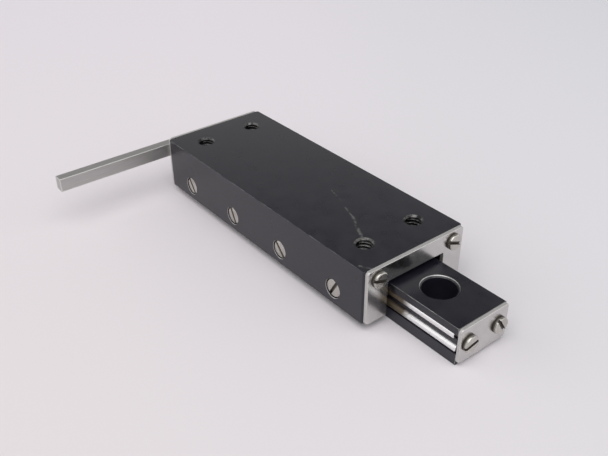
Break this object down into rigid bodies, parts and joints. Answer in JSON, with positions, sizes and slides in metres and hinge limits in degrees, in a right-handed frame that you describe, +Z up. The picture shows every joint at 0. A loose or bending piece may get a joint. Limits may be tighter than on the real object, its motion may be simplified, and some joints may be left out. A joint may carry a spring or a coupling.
{
  "type": "linear translation stage",
  "caption": "Small ball-bearing slide stage: a black carriage with tapped top holes runs along a counterbored base rail, with end plates, side preload screws and a rear arm.",
  "frame": {"origin": "middle of the base rail's underside, which stands on or bolts to a surface", "axes": "+X along the travel towards the end where the base stands out at rest, +Z up, +Y across, away from the preload screws"},
  "size_m": [0.0946, 0.0551, 0.0141],
  "materials": {
    "black_anodised": "satin black anodised",
    "plate_steel": "rolled bright stainless sheet",
    "rod_steel": "ground and polished hardened steel",
    "ball_steel": "polished hardened steel",
    "screw_steel": "turned stainless steel",
    "arm_steel": "satin drawn steel",
    "retainer_brass": "plain brass strip"
  },
  "bodies": {
    "base": {"base_rail": "black_anodised", "base_front_plate": "plate_steel", "base_rear_plate": "plate_steel", "base_front_screws": "screw_steel", "base_rear_screws": "screw_steel", "base_rod_left_upper": "rod_steel", "base_rod_left_lower": "rod_steel", "base_rod_right_upper": "rod_steel", "base_rod_right_lower": "rod_steel"},
    "carriage": {"carriage_housing": "black_anodised", "carriage_front_plate": "plate_steel", "carriage_rear_plate": "plate_steel", "carriage_front_screws": "screw_steel", "carriage_rear_screws": "screw_steel", "rear_arm": "arm_steel", "carriage_rod_left_upper": "rod_steel", "carriage_rod_left_lower": "rod_steel", "carriage_rod_right_upper": "rod_steel", "carriage_rod_right_lower": "rod_steel", "preload_screw_1": "screw_steel", "preload_screw_2": "screw_steel", "preload_screw_3": "screw_steel", "preload_screw_4": "screw_steel"},
    "left_retainer": {"left_ball_retainer": "retainer_brass", "left_balls": "ball_steel"},
    "right_retainer": {"right_ball_retainer": "retainer_brass", "right_balls": "ball_steel"}
  },
  "joints": [
    {"name": "carriage_slide", "type": "slide", "parent": "base", "child": "carriage", "axis": [1, 0, 0], "range_m": [-0.00115, 0.03695]},
    {"name": "left_retainer_slide", "type": "slide", "parent": "base", "child": "left_retainer", "axis": [1, 0, 0], "range_m": [-0.00057, 0.01847]},
    {"name": "right_retainer_slide", "type": "slide", "parent": "base", "child": "right_retainer", "axis": [1, 0, 0], "range_m": [-0.00057, 0.01847]}
  ],
  "couplings": [
    {"joint": "left_retainer_slide", "follows": "carriage_slide", "ratio": 0.5},
    {"joint": "right_retainer_slide", "follows": "carriage_slide", "ratio": 0.5}
  ]
}
